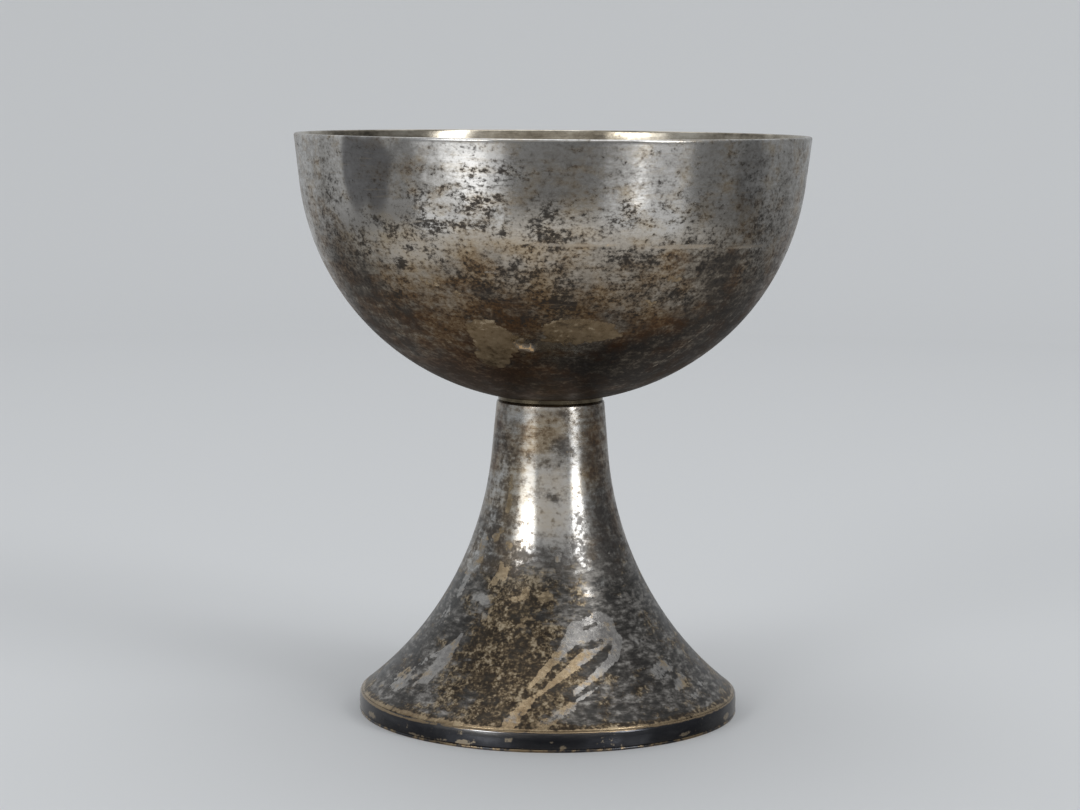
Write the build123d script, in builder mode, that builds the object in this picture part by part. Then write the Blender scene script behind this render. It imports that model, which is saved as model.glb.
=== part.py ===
from build123d import *

import os
from math import asin, cos, degrees, radians, sin, tan

# A communion chalice: a spun bowl bolted to a spun trumpet stem and foot.
# Millimetres. The origin is the centre of the base, and +Z runs up the axis of the cup.
# Every profile is drawn on Plane.XZ, where local X is the radius and local Y is the height.

# Driving dimensions: the cup
CHALICE_HEIGHT = 127.0
WALL = 1.0
RIM_RADIUS = 56.2
RIM_BAND = 10.8
RIM_TAPER = 6.9
RIM_ROUNDING = 0.45
DISH_RADIUS = 58.5
DISH_ANGLE = 18.6

# Driving dimensions: the stem and foot
STEM_TOP_Z = 68.9
STEM_TOP_RADIUS = 11.82
STEM_TAPER = 5.0
STEM_STRAIGHT = 11.6
STEM_EDGE_ROUNDING = 0.5
FLARE_RADIUS = 76.1
BAND_TOP_Z = 4.3
BAND_BOTTOM_Z = 0.6
BAND_RADIUS = 41.75
BAND_INNER_RADIUS = 39.7
BAND_BULGE = 0.08
BASE_RING_RADIUS = 41.9
BASE_RING_INNER_RADIUS = 34.0
BASE_RING_ROUNDING = 0.25

# Driving dimensions: the fastening between the bowl and the stem, with M6 hardware
COLLAR_RADIUS = 11.5
COLLAR_CHAMFER = 0.25
SPIGOT_RADIUS = 10.7
SPIGOT_LENGTH = 2.0
BOSS_RADIUS = 5.0
BOSS_CLEARANCE = 0.05
PLATE_THICKNESS = 2.2
BOSS_SETBACK = 0.2
STUD_RADIUS = 3.0
STUD_ENGAGEMENT = 2.6
STUD_HOLE_RELIEF = 0.2
STUD_STICKOUT = 2.5
STUD_CHAMFER = 0.8
STUD_WASHER_CLEARANCE = 0.2
WASHER_RADIUS = 9.0
WASHER_THICKNESS = 1.2
SPRING_WASHER_RADIUS = 5.9
SPRING_WASHER_BORE_RADIUS = 3.05
SPRING_WASHER_THICKNESS = 1.6
SPRING_WASHER_ARC = 350
NUT_ACROSS_FLATS = 10.0
NUT_HEIGHT = 5.0
NUT_CHAMFER = 0.45

# The bowl's outside, from the axis out: a shallow dish, a rounder side and a straight band.
# The side's radius follows from the rim's, so that all three meet smoothly.
side_radius = (
    RIM_RADIUS - RIM_BAND * sin(radians(RIM_TAPER)) - DISH_RADIUS * sin(radians(DISH_ANGLE))
) / (cos(radians(RIM_TAPER)) - sin(radians(DISH_ANGLE)))
centre_gap = DISH_RADIUS - side_radius
side_centre_radius = centre_gap * sin(radians(DISH_ANGLE))
band_foot_z = CHALICE_HEIGHT - RIM_BAND * cos(radians(RIM_TAPER))
side_centre_z = band_foot_z + side_radius * sin(radians(RIM_TAPER))
dish_centre_z = side_centre_z + centre_gap * cos(radians(DISH_ANGLE))
bowl_bottom_z = dish_centre_z - DISH_RADIUS

# The stem's outside, from the top down: a straight taper, then one long flare.
straight_end_radius = STEM_TOP_RADIUS + STEM_STRAIGHT * sin(radians(STEM_TAPER))
straight_end_z = STEM_TOP_Z - STEM_STRAIGHT * cos(radians(STEM_TAPER))
flare_centre_radius = straight_end_radius + FLARE_RADIUS * cos(radians(STEM_TAPER))
flare_centre_z = straight_end_z + FLARE_RADIUS * sin(radians(STEM_TAPER))

# Heights of the fastening, from the stem's mouth down
spigot_end_z = STEM_TOP_Z - SPIGOT_LENGTH
plate_bottom_z = spigot_end_z - PLATE_THICKNESS
boss_end_z = plate_bottom_z + BOSS_SETBACK
stud_top_z = boss_end_z + STUD_ENGAGEMENT
washer_bottom_z = plate_bottom_z - WASHER_THICKNESS
spring_washer_bottom_z = washer_bottom_z - SPRING_WASHER_THICKNESS
nut_bottom_z = spring_washer_bottom_z - NUT_HEIGHT
stud_bottom_z = nut_bottom_z - STUD_STICKOUT


def bowl_side(inset):
    """Draws one face of the bowl's wall from the axis to the rim, and returns its two ends."""
    dish_start = -90
    side_start = dish_start + DISH_ANGLE
    side_sweep = 90 - DISH_ANGLE - RIM_TAPER
    dish = CenterArc((0, dish_centre_z), DISH_RADIUS - inset, dish_start, DISH_ANGLE)
    side = CenterArc(
        (side_centre_radius, side_centre_z), side_radius - inset, side_start, side_sweep
    )
    band_start = side @ 1
    rim_rise = CHALICE_HEIGHT - band_start.Y
    rim_point = (band_start.X + rim_rise * tan(radians(RIM_TAPER)), CHALICE_HEIGHT)
    Line(band_start, rim_point)
    return dish @ 0, rim_point


def stem_radius_at(z, inset):
    """Returns the radius of the stem's straight taper at a height, on the given face."""
    outside = STEM_TOP_RADIUS + (STEM_TOP_Z - z) * tan(radians(STEM_TAPER))
    return outside - inset / cos(radians(STEM_TAPER))


def flare_angle_at(z, inset):
    """Returns how far the flare has turned from vertical, in degrees, at a height."""
    return degrees(asin((flare_centre_z - z) / (FLARE_RADIUS + inset)))


def stem_side(inset):
    """Draws one face of the stem's wall from the mouth to the foot, and returns its two ends."""
    mouth_point = (stem_radius_at(STEM_TOP_Z, inset), STEM_TOP_Z)
    flare_sweep = flare_angle_at(BAND_TOP_Z, inset) - STEM_TAPER
    flare = CenterArc(
        (flare_centre_radius, flare_centre_z), FLARE_RADIUS + inset, 180 + STEM_TAPER, flare_sweep
    )
    Line(mouth_point, flare @ 0)
    return mouth_point, flare @ 1


# The bowl: one spun shell with a rounded rim
with BuildPart() as bowl:
    with BuildSketch(Plane.XZ):
        with BuildLine():
            outer_bottom, outer_rim = bowl_side(0)
            inner_bottom, inner_rim = bowl_side(WALL)
            Line(outer_bottom, inner_bottom)
            Line(outer_rim, inner_rim)
        make_face()
    revolve(axis=Axis.Z)
    rim_edges = bowl.edges().filter_by(GeomType.CIRCLE).group_by(Axis.Z)[-1]
    fillet(rim_edges, RIM_ROUNDING)
bowl.part.label = "bowl"

# The seat collar: brazed under the bowl, it centres the bowl in the stem's mouth
with BuildPart() as seat_collar:
    with BuildSketch(Plane.XZ):
        with BuildLine():
            seat_sweep = degrees(asin(COLLAR_RADIUS / DISH_RADIUS))
            seat = CenterArc((0, dish_centre_z), DISH_RADIUS, -90, seat_sweep)
            Polyline(
                seat @ 1,
                (COLLAR_RADIUS, STEM_TOP_Z + COLLAR_CHAMFER),
                (COLLAR_RADIUS - COLLAR_CHAMFER, STEM_TOP_Z),
                (SPIGOT_RADIUS, STEM_TOP_Z),
                (SPIGOT_RADIUS, spigot_end_z),
                (BOSS_RADIUS, spigot_end_z),
                (BOSS_RADIUS, boss_end_z),
                (STUD_RADIUS, boss_end_z),
                (STUD_RADIUS, stud_top_z + STUD_HOLE_RELIEF),
                (0, stud_top_z + STUD_HOLE_RELIEF),
                seat @ 0,
            )
        make_face()
    revolve(axis=Axis.Z)
seat_collar.part.label = "seat_collar"

# The stem and foot: one spun trumpet, open underneath
with BuildPart() as stem_foot:
    with BuildSketch(Plane.XZ):
        with BuildLine():
            outer_mouth, outer_foot = stem_side(0)
            inner_mouth, inner_foot = stem_side(WALL)
            Line(outer_mouth, inner_mouth)
            Line(outer_foot, inner_foot)
        make_face()
    revolve(axis=Axis.Z)
    mouth_edges = stem_foot.edges().filter_by(GeomType.CIRCLE).group_by(Axis.Z)[-1]
    fillet(mouth_edges.sort_by(SortBy.RADIUS)[-1], STEM_EDGE_ROUNDING)
stem_foot.part.label = "stem_foot"

# The stem plate: a disc soldered inside the stem's mouth, which the nut pulls against
with BuildPart() as stem_plate:
    with BuildSketch(Plane.XZ):
        with BuildLine():
            Polyline(
                (BOSS_RADIUS + BOSS_CLEARANCE, spigot_end_z),
                (stem_radius_at(spigot_end_z, WALL), spigot_end_z),
                (stem_radius_at(plate_bottom_z, WALL), plate_bottom_z),
                (BOSS_RADIUS + BOSS_CLEARANCE, plate_bottom_z),
                close=True,
            )
        make_face()
    revolve(axis=Axis.Z)
stem_plate.part.label = "stem_plate"

# The bowl stud: screwed into the collar's boss, it hangs down inside the stem
with BuildPart() as bowl_stud:
    with BuildSketch(Plane.XY.offset(stud_bottom_z)):
        Circle(STUD_RADIUS)
    extrude(amount=stud_top_z - stud_bottom_z)
    chamfer(bowl_stud.faces().sort_by(Axis.Z)[0].edges(), STUD_CHAMFER)
bowl_stud.part.label = "bowl_stud"

# The flat washer spreads the nut's load over the stem plate
with BuildPart() as flat_washer:
    with BuildSketch(Plane.XY.offset(washer_bottom_z)):
        Circle(WASHER_RADIUS)
        Circle(STUD_RADIUS + STUD_WASHER_CLEARANCE, mode=Mode.SUBTRACT)
    extrude(amount=WASHER_THICKNESS)
flat_washer.part.label = "flat_washer"

# The spring washer is drawn pressed flat, with the gap at its split
with BuildPart() as spring_washer:
    with BuildSketch(Plane.XZ):
        with Locations((SPRING_WASHER_BORE_RADIUS, spring_washer_bottom_z)):
            Rectangle(
                SPRING_WASHER_RADIUS - SPRING_WASHER_BORE_RADIUS,
                SPRING_WASHER_THICKNESS,
                align=(Align.MIN, Align.MIN),
            )
    revolve(axis=Axis.Z, revolution_arc=SPRING_WASHER_ARC)
spring_washer.part.label = "spring_washer"

# The hexagon nut, with its corners turned down at both ends
with BuildPart() as hex_nut:
    with BuildSketch(Plane.XY.offset(nut_bottom_z)):
        RegularPolygon(NUT_ACROSS_FLATS / 2, side_count=6, major_radius=False)
    extrude(amount=NUT_HEIGHT)
    with BuildSketch(Plane.XZ):
        corner_radius = NUT_ACROSS_FLATS / 2 / cos(radians(30))
        shoulder_radius = corner_radius - NUT_CHAMFER / tan(radians(30))
        with BuildLine():
            Polyline(
                (0, nut_bottom_z),
                (shoulder_radius, nut_bottom_z),
                (corner_radius, nut_bottom_z + NUT_CHAMFER),
                (corner_radius, nut_bottom_z + NUT_HEIGHT - NUT_CHAMFER),
                (shoulder_radius, nut_bottom_z + NUT_HEIGHT),
                (0, nut_bottom_z + NUT_HEIGHT),
                close=True,
            )
        make_face()
    revolve(axis=Axis.Z, mode=Mode.INTERSECT)
    with Locations((0, 0, nut_bottom_z + NUT_HEIGHT)):
        Hole(STUD_RADIUS, depth=NUT_HEIGHT)
hex_nut.part.label = "hex_nut"

# The foot band: a square-section wire soldered under the flare, its top corner rounded
# so that the flare runs over into the upright edge
with BuildPart() as foot_band:
    with BuildSketch(Plane.XZ):
        with BuildLine():
            flare_end_angle = flare_angle_at(BAND_TOP_Z, 0)
            flare_end_radius = flare_centre_radius - FLARE_RADIUS * cos(radians(flare_end_angle))
            corner_rounding = (BAND_RADIUS - flare_end_radius) / (1 - cos(radians(flare_end_angle)))
            corner_centre = (
                BAND_RADIUS - corner_rounding,
                BAND_TOP_Z - corner_rounding * sin(radians(flare_end_angle)),
            )
            corner = CenterArc(corner_centre, corner_rounding, 0, flare_end_angle)
            bulge_z = ((corner @ 0).Y + BAND_BOTTOM_Z) / 2
            ThreePointArc(
                corner @ 0, (BAND_RADIUS + BAND_BULGE, bulge_z), (BAND_RADIUS, BAND_BOTTOM_Z)
            )
            Polyline(
                corner @ 1,
                (BAND_INNER_RADIUS, BAND_TOP_Z),
                (BAND_INNER_RADIUS, BAND_BOTTOM_Z),
                (BAND_RADIUS, BAND_BOTTOM_Z),
            )
        make_face()
    revolve(axis=Axis.Z)
foot_band.part.label = "foot_band"

# The base ring: a flat ring soldered under the band, which the cup stands on
with BuildPart() as base_ring:
    with BuildSketch():
        Circle(BASE_RING_RADIUS)
        Circle(BASE_RING_INNER_RADIUS, mode=Mode.SUBTRACT)
    extrude(amount=BAND_BOTTOM_Z)
    ring_edges = base_ring.edges().filter_by(GeomType.CIRCLE)
    fillet(ring_edges.group_by(SortBy.RADIUS)[-1], BASE_RING_ROUNDING)
base_ring.part.label = "base_ring"

# One STEP file per piece
pieces = [
    bowl,
    seat_collar,
    stem_foot,
    stem_plate,
    bowl_stud,
    flat_washer,
    spring_washer,
    hex_nut,
    foot_band,
    base_ring,
]
os.makedirs("parts", exist_ok=True)
for piece in pieces:
    export_step(piece.part, f"parts/{piece.part.label}.step")
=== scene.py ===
from math import asin, ceil, cos, degrees, hypot, pi, radians, sin, tan

import bpy
import numpy as np
from mathutils import Matrix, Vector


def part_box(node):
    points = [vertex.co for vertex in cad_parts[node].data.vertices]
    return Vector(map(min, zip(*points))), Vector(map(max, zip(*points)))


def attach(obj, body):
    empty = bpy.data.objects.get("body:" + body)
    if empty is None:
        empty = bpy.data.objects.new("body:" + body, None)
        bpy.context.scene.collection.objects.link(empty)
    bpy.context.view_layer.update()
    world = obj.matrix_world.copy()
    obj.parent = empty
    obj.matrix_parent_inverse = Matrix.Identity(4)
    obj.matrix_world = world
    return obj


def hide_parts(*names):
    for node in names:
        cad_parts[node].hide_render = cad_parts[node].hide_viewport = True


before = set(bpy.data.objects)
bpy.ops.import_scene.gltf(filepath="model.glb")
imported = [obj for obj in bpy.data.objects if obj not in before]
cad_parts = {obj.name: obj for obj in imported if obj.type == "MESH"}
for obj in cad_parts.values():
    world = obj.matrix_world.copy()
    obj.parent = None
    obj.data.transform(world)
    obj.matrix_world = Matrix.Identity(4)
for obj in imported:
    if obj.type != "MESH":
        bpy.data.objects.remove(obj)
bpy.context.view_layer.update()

# The CAD's dimensions in millimetres, repeated here because this script reads nothing but the frame
CHALICE_HEIGHT = 127.0
WALL = 1.0
RIM_RADIUS = 56.2
RIM_BAND = 10.8
RIM_TAPER = 6.9
RIM_ROUNDING = 0.45
DISH_RADIUS = 58.5
DISH_ANGLE = 18.6
STEM_TOP_Z = 68.9
STEM_TOP_RADIUS = 11.82
STEM_TAPER = 5.0
STEM_STRAIGHT = 11.6
STEM_EDGE_ROUNDING = 0.5
FLARE_RADIUS = 76.1
BAND_TOP_Z = 4.3
BAND_BOTTOM_Z = 0.6
BAND_RADIUS = 41.75
BAND_INNER_RADIUS = 39.7
BAND_BULGE = 0.08
BASE_RING_RADIUS = 41.9
BASE_RING_INNER_RADIUS = 34.0
BASE_RING_ROUNDING = 0.25

# M6 coarse thread for the stud. Slope and root shape the flanks, in shares of the depth, and the
# groove runs out over a short way from the core radius, on the stud's end faces
THREAD_PITCH = 1.0
THREAD_DEPTH = 0.61
THREAD_SLOPE = 1.45
THREAD_ROOT = 0.18
THREAD_CORE_RADIUS = 2.1
THREAD_RUNOUT = 0.3
STUD_CHAMFER = 0.8

# Outside this radius the band and the base ring show, and wear
SHOWN_RADIUS = 41.0
# How far into a wall its inner look starts, and how far in that look is complete
INNER_START = 0.35
INNER_FADE = 0.3
# Spacing of points round the small roundings
RIM_STEP = 0.12
MOUTH_STEP = 0.15
RING_EDGE_STEP = 0.06

MM = 0.001

# Where the bowl's arcs and the stem's flare have their centres, as in the CAD
side_radius = (
    RIM_RADIUS - RIM_BAND * sin(radians(RIM_TAPER)) - DISH_RADIUS * sin(radians(DISH_ANGLE))
) / (cos(radians(RIM_TAPER)) - sin(radians(DISH_ANGLE)))
centre_gap = DISH_RADIUS - side_radius
band_foot_z = CHALICE_HEIGHT - RIM_BAND * cos(radians(RIM_TAPER))
side_centre = (
    centre_gap * sin(radians(DISH_ANGLE)),
    band_foot_z + side_radius * sin(radians(RIM_TAPER)),
)
dish_centre = (0.0, side_centre[1] + centre_gap * cos(radians(DISH_ANGLE)))
straight_end = (
    STEM_TOP_RADIUS + STEM_STRAIGHT * sin(radians(STEM_TAPER)),
    STEM_TOP_Z - STEM_STRAIGHT * cos(radians(STEM_TAPER)),
)
flare_centre = (
    straight_end[0] + FLARE_RADIUS * cos(radians(STEM_TAPER)),
    straight_end[1] + FLARE_RADIUS * sin(radians(STEM_TAPER)),
)


# -------------------- profiles

def arc(centre, radius, start, sweep, step):
    """Points of an arc in the plane of radius and height, angles in degrees."""
    count = max(2, ceil(abs(radians(sweep)) * radius / step))
    turn = np.radians(start + sweep * np.arange(count + 1) / count)
    return np.column_stack(
        (centre[0] + radius * np.cos(turn), centre[1] + radius * np.sin(turn))
    )


def line(start, end, step):
    """Points of a straight run in the plane of radius and height."""
    count = max(1, ceil(hypot(end[0] - start[0], end[1] - start[1]) / step))
    share = np.arange(count + 1)[:, None] / count
    return np.array(start) * (1 - share) + np.array(end) * share


def join(*runs):
    """One profile from runs that meet end to end, without the doubled points."""
    points = np.vstack(runs)
    apart = np.hypot(*np.diff(points, axis=0).T) > 1e-4
    return points[np.concatenate(([True], apart))]


def bowl_profile(outer_step, inner_step):
    """From the axis under the bowl, up the outside, over the rim and down the inside."""
    taper = radians(RIM_TAPER)
    side_start = -90 + DISH_ANGLE
    side_sweep = 90 - DISH_ANGLE - RIM_TAPER
    rounding_z = CHALICE_HEIGHT - RIM_ROUNDING
    outer_at_rounding = RIM_RADIUS - RIM_ROUNDING * tan(taper)
    inner_at_rounding = outer_at_rounding - WALL / cos(taper)
    outer_corner = (outer_at_rounding - RIM_ROUNDING / cos(taper), rounding_z)
    inner_corner = (inner_at_rounding + RIM_ROUNDING / cos(taper), rounding_z)
    dish_out = arc(dish_centre, DISH_RADIUS, -90, DISH_ANGLE, outer_step)
    side_out = arc(side_centre, side_radius, side_start, side_sweep, outer_step)
    outer_rim = arc(outer_corner, RIM_ROUNDING, -RIM_TAPER, 90 + RIM_TAPER, RIM_STEP)
    inner_rim = arc(inner_corner, RIM_ROUNDING, 90, 90 - RIM_TAPER, RIM_STEP)
    side_in = arc(side_centre, side_radius - WALL, -RIM_TAPER, -side_sweep, inner_step)
    dish_in = arc(dish_centre, DISH_RADIUS - WALL, side_start, -DISH_ANGLE, inner_step)
    dish_out[0, 0] = dish_in[-1, 0] = 0.0
    return join(
        dish_out,
        side_out,
        line(side_out[-1], outer_rim[0], outer_step),
        outer_rim,
        inner_rim,
        line(inner_rim[-1], side_in[0], inner_step),
        side_in,
        dish_in,
    )


def flare_angle(z, radius):
    """How far the flare has turned from vertical at a height, in degrees."""
    return degrees(asin((flare_centre[1] - z) / radius))


def stem_profile(outer_step, inner_step):
    """From the foot's edge, up the outside, into the mouth and down the inside."""
    taper = radians(STEM_TAPER)
    outer_turn = flare_angle(BAND_TOP_Z, FLARE_RADIUS) - STEM_TAPER
    inner_turn = flare_angle(BAND_TOP_Z, FLARE_RADIUS + WALL) - STEM_TAPER
    flare_out = arc(
        flare_centre, FLARE_RADIUS, 180 + STEM_TAPER + outer_turn, -outer_turn, outer_step
    )
    flare_in = arc(flare_centre, FLARE_RADIUS + WALL, 180 + STEM_TAPER, inner_turn, inner_step)
    corner_z = STEM_TOP_Z - STEM_EDGE_ROUNDING
    corner_r = (
        STEM_TOP_RADIUS
        + STEM_EDGE_ROUNDING * tan(taper)
        - STEM_EDGE_ROUNDING / cos(taper)
    )
    mouth = arc(
        (corner_r, corner_z), STEM_EDGE_ROUNDING, STEM_TAPER, 90 - STEM_TAPER, MOUTH_STEP
    )
    inner_mouth = (STEM_TOP_RADIUS - WALL / cos(taper), STEM_TOP_Z)
    return join(
        flare_out,
        line(flare_out[-1], mouth[0], outer_step),
        mouth,
        line(mouth[-1], inner_mouth, 0.4),
        line(inner_mouth, flare_in[0], inner_step),
        flare_in,
        line(flare_in[-1], flare_out[0], 0.5)[:-1],
    )


def band_profile(step):
    """The square wire under the flare, from its lower inner corner outwards and up."""
    end_turn = flare_angle(BAND_TOP_Z, FLARE_RADIUS)
    end_radius = flare_centre[0] - FLARE_RADIUS * cos(radians(end_turn))
    rounding = (BAND_RADIUS - end_radius) / (1 - cos(radians(end_turn)))
    corner_z = BAND_TOP_Z - rounding * sin(radians(end_turn))
    corner = arc((BAND_RADIUS - rounding, corner_z), rounding, 0, end_turn, step)
    rise = np.linspace(0, 1, 14)
    bulge = np.column_stack(
        (
            BAND_RADIUS + BAND_BULGE * 4 * rise * (1 - rise),
            BAND_BOTTOM_Z + (corner_z - BAND_BOTTOM_Z) * rise,
        )
    )
    low_inner = (BAND_INNER_RADIUS, BAND_BOTTOM_Z)
    high_inner = (BAND_INNER_RADIUS, BAND_TOP_Z)
    return join(
        line(low_inner, bulge[0], 0.5),
        bulge,
        corner,
        line(corner[-1], high_inner, 0.5),
        line(high_inner, low_inner, 0.5)[:-1],
    )


def ring_profile():
    """The flat ring under the band, with its outer edges rounded."""
    edge = BASE_RING_RADIUS - BASE_RING_ROUNDING
    high_z = BAND_BOTTOM_Z - BASE_RING_ROUNDING
    low = arc((edge, BASE_RING_ROUNDING), BASE_RING_ROUNDING, -90, 90, RING_EDGE_STEP)
    high = arc((edge, high_z), BASE_RING_ROUNDING, 0, 90, RING_EDGE_STEP)
    low_inner = (BASE_RING_INNER_RADIUS, 0.0)
    high_inner = (BASE_RING_INNER_RADIUS, BAND_BOTTOM_Z)
    return join(
        line(low_inner, low[0], 0.8),
        low,
        high,
        line(high[-1], high_inner, 0.8),
        line(high_inner, low_inner, 0.3)[:-1],
    )


def stud_profile(low_z, high_z, radius):
    """The stud from the axis at its lower end to the axis at its upper end."""
    return join(
        line((0, low_z), (radius - STUD_CHAMFER, low_z), 0.6),
        line((radius - STUD_CHAMFER, low_z), (radius, low_z + STUD_CHAMFER), 0.1),
        line((radius, low_z + STUD_CHAMFER), (radius, high_z), 0.1),
        line((radius, high_z), (0, high_z), 0.6),
    )


# -------------------- revolved meshes

def bowl_arc(r):
    """Centre and radius of the arc that the bowl's outside follows, by distance from the axis."""
    in_dish = r < DISH_RADIUS * sin(radians(DISH_ANGLE))
    dish, side = (*dish_centre, DISH_RADIUS), (*side_centre, side_radius)
    return [np.where(in_dish, a, b) for a, b in zip(dish, side)]


def unit_outward(out_r, out_z, straight, lean):
    """Directions of unit length, with one lean in degrees where the wall is straight."""
    length = np.hypot(out_r, out_z)
    return (
        np.where(straight, cos(radians(lean)), out_r / length),
        np.where(straight, sin(radians(lean)), out_z / length),
    )


def bowl_outward(r, z):
    """The direction away from the cup at points of the bowl's wall."""
    centre_r, centre_z, _ = bowl_arc(r)
    return unit_outward(r - centre_r, z - centre_z, z > band_foot_z, -RIM_TAPER)


def stem_outward(r, z):
    """The direction away from the stem at points of its wall."""
    return unit_outward(flare_centre[0] - r, flare_centre[1] - z, z > straight_end[1], STEM_TAPER)


def radial_outward(r, z):
    """Straight out from the axis."""
    return np.ones_like(r), np.zeros_like(r)


def new_object(name, data):
    made = bpy.data.objects.new(name, data)
    bpy.context.scene.collection.objects.link(made)
    return made


def ring_joint(low, low_count, high, high_count):
    """Faces between two rings, each given by its first vertex and its count. The counts are
    equal or differ by two times, or one ring is a single point."""
    upward = low_count < high_count
    few, many = (low, high) if upward else (high, low)
    k = np.arange(min(low_count, high_count))
    n = (k + 1) % len(k)
    if low_count == high_count:
        return np.column_stack((low + k, low + n, high + n, high + k)).tolist()
    if len(k) == 1:
        k = np.arange(max(low_count, high_count))
        n = (k + 1) % len(k)
        faces = np.column_stack((many + k, many + n, np.full(len(k), few)))
    else:
        a, b, c = many + 2 * k, many + 2 * k + 1, many + 2 * n
        d, e = few + k, few + n
        faces = np.vstack([np.column_stack(face) for face in ((a, b, d), (b, e, d), (b, c, e))])
    return (faces[:, ::-1] if upward else faces).tolist()


def revolve(name, profile, counts, outward, relief, closed=False):
    """A mesh of revolution about Z, with the angle, radius and height of each vertex. counts
    gives a ring's vertex count from its radius, and relief how far each point moves along
    outward, in millimetres. Angle 0 is the front, -Y. A closed profile joins its end to its
    start."""
    ring_counts = [1 if r < 1e-6 else counts(r) for r in profile[:, 0]]
    starts = np.concatenate(([0], np.cumsum(ring_counts)))
    theta = np.concatenate([np.arange(n) * 360.0 / n for n in ring_counts])
    theta = (theta + 180) % 360 - 180
    r = np.repeat(profile[:, 0], ring_counts)
    z = np.repeat(profile[:, 1], ring_counts)
    out_r, out_z = outward(r, z)
    push = relief(theta, r, z)
    moved_r = np.where(r < 1e-6, 0, r + out_r * push)
    moved_z = z + out_z * push
    turn = np.radians(theta)
    points = np.column_stack((moved_r * np.sin(turn), -moved_r * np.cos(turn), moved_z)) * MM
    faces = []
    for i in range(len(ring_counts) if closed else len(ring_counts) - 1):
        j = (i + 1) % len(ring_counts)
        faces += ring_joint(starts[i], ring_counts[i], starts[j], ring_counts[j])
    mesh = bpy.data.meshes.new(name)
    mesh.from_pydata(points.tolist(), [], faces)
    mesh.polygons.foreach_set("use_smooth", np.ones(len(mesh.polygons), bool))
    mesh.update()
    return new_object(name, mesh), theta, r, z


def halving(full, *radii):
    """A ring-count rule: full outside the first radius, and half as many inside each next one."""
    def counts(r):
        return full >> sum(r < limit for limit in radii)
    return counts


def paint(piece, layers):
    """Writes each layer, one number per vertex, as an attribute that the materials read."""
    for name, values in layers.items():
        layer = piece.data.attributes.new(name, "FLOAT", "POINT")
        layer.data.foreach_set("value", np.clip(values, 0, 1).astype(np.float32))


# -------------------- relief and wear

def marks(theta, r, z, rows, power=2):
    """Adds soft elliptical marks. A row has the mark's angle in degrees and height in mm, its
    half width and half height in mm, its amount and, where it leans, its tilt in degrees."""
    total = np.zeros_like(theta)
    for angle, height, wide, tall, amount, *tilt in rows:
        across = np.radians((theta - angle + 180) % 360 - 180) * r
        up = z - height
        turn = radians(sum(tilt))
        c, s = cos(turn), sin(turn)
        away = ((across * c + up * s) / wide) ** 2 + ((up * c - across * s) / tall) ** 2
        total += amount * np.exp(-(away ** (power / 2)))
    return total


def strokes(theta, r, z, rows):
    """Adds rubbed streaks. A row has the angle and height of each end, the half width in mm
    at each end, and the amount."""
    total = np.zeros_like(theta)
    for angle, height, end_angle, end_height, half, end_half, amount in rows:
        across = np.radians(theta - angle) * r
        reach = np.radians(end_angle - angle) * r
        up, rise = z - height, end_height - height
        share = np.clip((across * reach + up * rise) / (reach**2 + rise**2), 0, 1)
        away = np.hypot(across - share * reach, up - share * rise)
        total += amount * np.exp(-((away / (half + (end_half - half) * share)) ** 4))
    return total


def waves(theta, z, amount, seed):
    """The slight unevenness of spun sheet: a few long waves round and along the wall."""
    rng = np.random.default_rng(seed)
    total = np.zeros_like(theta)
    for lobes, length in ((2, 90), (3, 41), (5, 27), (7, 19), (9, 14)):
        phases = rng.uniform(0, 2 * pi, 2)
        round_part = np.sin(np.radians(theta) * lobes + phases[0])
        total += round_part * np.sin(z * 2 * pi / length + phases[1]) / lobes
    return amount * total


# Dents in the bowl, whose amount is the push outwards in mm
BOWL_DENTS = [
    (-8.4, 84.8, 1.5, 1, -0.6, 10), (-6.4, 84.2, 0.8, 0.6, -0.2), (-24, 96, 9, 6, -0.14, 20),
    (33, 92, 11, 7, -0.16, -15), (72, 109, 8, 9, -0.12), (-118, 101, 10, 7, -0.18, 10),
    (148, 93, 12, 8, -0.15),
]
# Dents in the stem and foot
STEM_DENTS = [
    (-24, 42, 5, 7, -0.06), (26, 46, 4, 8, -0.05), (-52, 15, 6, 4, -0.1, 20), (61, 11, 7, 4, -0.1),
    (130, 18, 8, 6, -0.12),
]


def bowl_relief(theta, r, z):
    """Waves and dents, with no waves where the bowl meets its seat."""
    fade = np.clip((z - 70) / 6, 0, 1)
    return fade * waves(theta, z, 0.05, 11) + marks(theta, r, z, BOWL_DENTS)


def stem_relief(theta, r, z):
    """Waves and dents that fade out where the stem meets its neighbours."""
    fade = np.clip((z - BAND_TOP_Z) / 5, 0, 1) * np.clip((STEM_TOP_Z - z) / 6, 0, 1)
    return fade * (waves(theta, z, 0.035, 23) + marks(theta, r, z, STEM_DENTS))


def band_relief(theta, r, z):
    """Only the outer part of the band is uneven, and it fades out under the flare's edge."""
    outer = np.clip((r - BAND_INNER_RADIUS - 1.2) / 0.6, 0, 1) * np.clip((BAND_TOP_Z - z) / 0.8, 0, 1)
    return outer * (waves(theta, z * 4, 0.03, 31) - 0.02)


def ring_relief(theta, r, z):
    outer = np.clip((r - SHOWN_RADIUS) / 0.6, 0, 1)
    return outer * (waves(theta, z * 8, 0.05, 37) - 0.05)


def thread_relief(theta, r, z):
    """A helical groove, which only cuts into the stud and never raises it."""
    phase = (z / THREAD_PITCH - theta / 360) % 1
    tooth = np.clip(np.abs(phase - 0.5) * 2 * THREAD_SLOPE - THREAD_ROOT, 0, 1)
    fade = np.clip((r - THREAD_CORE_RADIUS) / THREAD_RUNOUT, 0, 1)
    return -THREAD_DEPTH * (1 - tooth) * fade


# -------------------- tarnish layout on the bowl

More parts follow.
